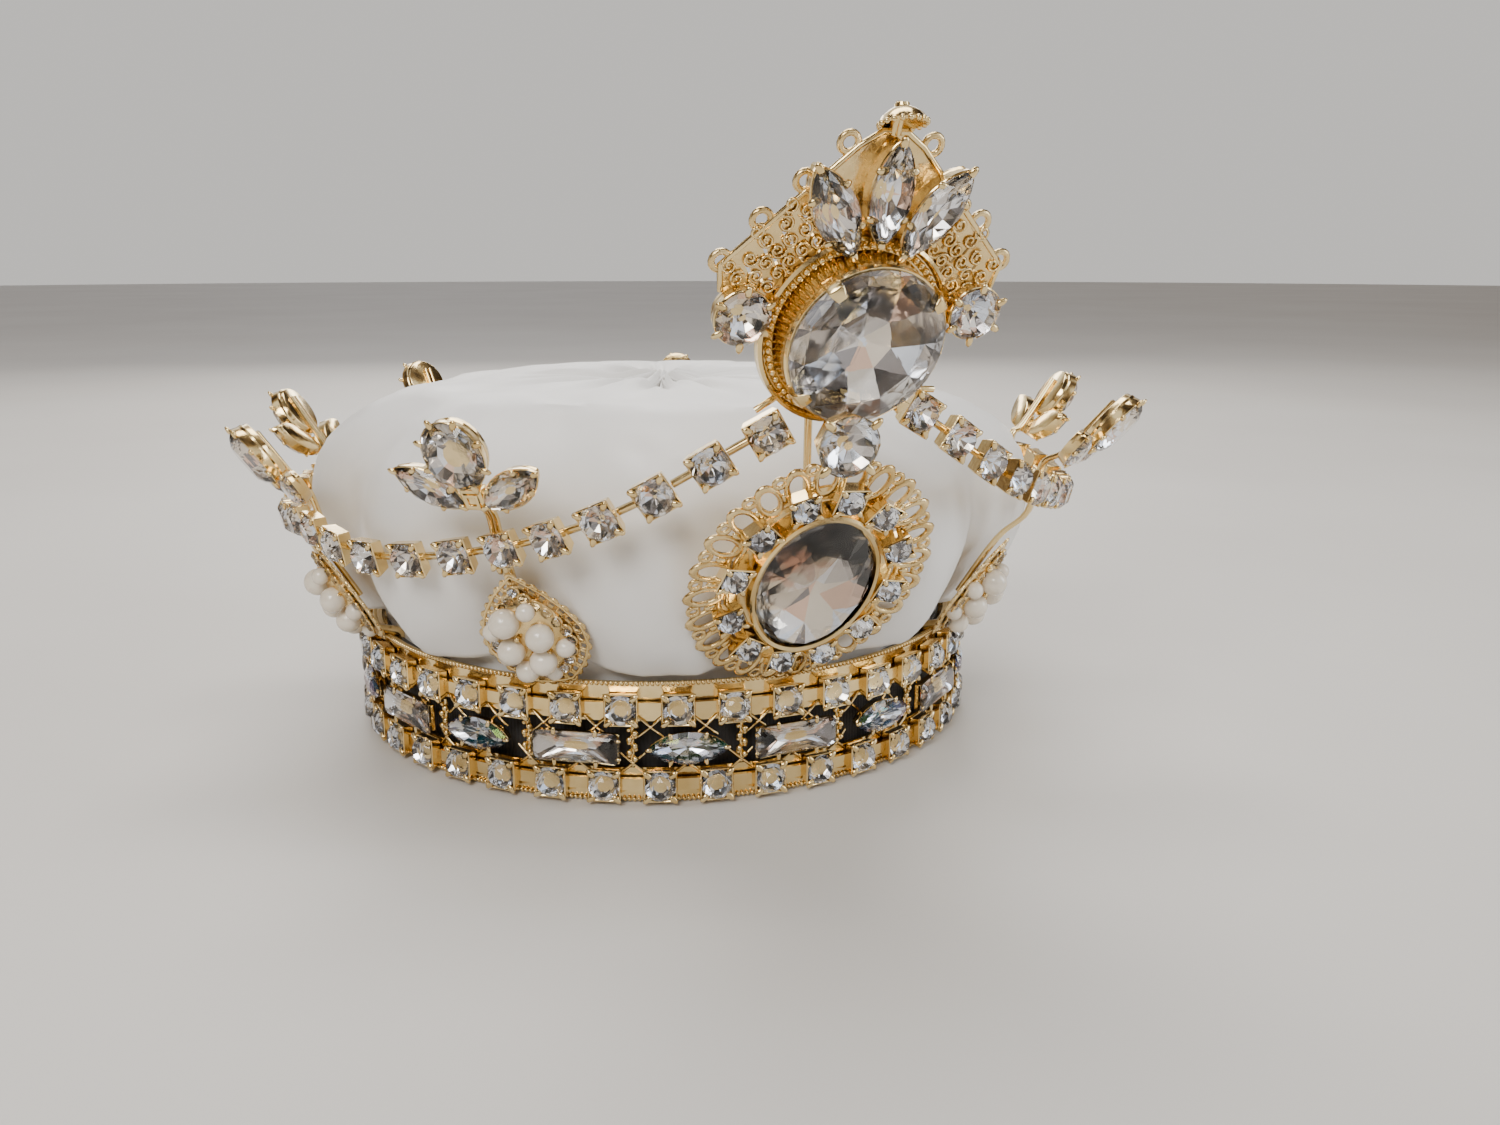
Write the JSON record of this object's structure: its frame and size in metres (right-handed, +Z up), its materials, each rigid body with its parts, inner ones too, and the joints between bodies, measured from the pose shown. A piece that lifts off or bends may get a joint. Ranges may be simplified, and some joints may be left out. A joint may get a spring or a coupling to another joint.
{
  "type": "tiara",
  "caption": "Costume crown with a jewelled gold band, pearl leaves, three-stone sprays, a hanging stone garland, a leaning medallion with a tall crest, and a padded satin cap.",
  "frame": {"origin": "the band's axis, at the level the band's bottom edge stands on", "axes": "+Z up along the band's axis, -Y towards the front, where the medallion and crest are, +X towards the wearer's left"},
  "size_m": [0.2533, 0.2738, 0.1618],
  "materials": {
    "gold_plate": "bright pale gold plating over a cast and soldered base metal",
    "clear_stone": "clear faceted stones in gold cups, cup and stone as one piece",
    "pearl_and_gold": "cream imitation pearls on a gold-plated leaf",
    "white_satin": "white satin over soft padding, gathered at the top centre"
  },
  "bodies": {
    "root": {"band": "gold_plate", "upper_stone_row": "clear_stone", "lower_stone_row": "clear_stone", "baguette_stone_01": "clear_stone", "navette_stone_01": "clear_stone", "baguette_stone_02": "clear_stone", "navette_stone_02": "clear_stone", "baguette_stone_03": "clear_stone", "navette_stone_03": "clear_stone", "baguette_stone_04": "clear_stone", "navette_stone_04": "clear_stone", "baguette_stone_05": "clear_stone", "navette_stone_05": "clear_stone", "baguette_stone_06": "clear_stone", "navette_stone_06": "clear_stone", "baguette_stone_07": "clear_stone", "navette_stone_07": "clear_stone", "baguette_stone_08": "clear_stone", "navette_stone_08": "clear_stone", "baguette_stone_09": "clear_stone", "navette_stone_09": "clear_stone", "baguette_stone_10": "clear_stone", "navette_stone_10": "clear_stone", "leaf_l1": "pearl_and_gold", "spray_l1": "clear_stone", "leaf_l2": "pearl_and_gold", "spray_l2": "clear_stone", "leaf_l3": "pearl_and_gold", "spray_l3": "clear_stone", "leaf_l4": "pearl_and_gold", "spray_l4": "clear_stone", "leaf_r4": "pearl_and_gold", "spray_r4": "clear_stone", "leaf_r3": "pearl_and_gold", "spray_r3": "clear_stone", "leaf_r2": "pearl_and_gold", "spray_r2": "clear_stone", "leaf_r1": "pearl_and_gold", "spray_r1": "clear_stone", "garland": "clear_stone", "medallion_setting": "gold_plate", "medallion_stone": "clear_stone", "drop_stone": "clear_stone", "crest_setting": "gold_plate", "crest_stone": "clear_stone", "crest_navette_left": "clear_stone", "crest_navette_middle": "clear_stone", "crest_navette_right": "clear_stone", "crest_round_left": "clear_stone", "crest_round_right": "clear_stone", "crest_finial": "gold_plate", "cap": "white_satin"}
  },
  "joints": []
}
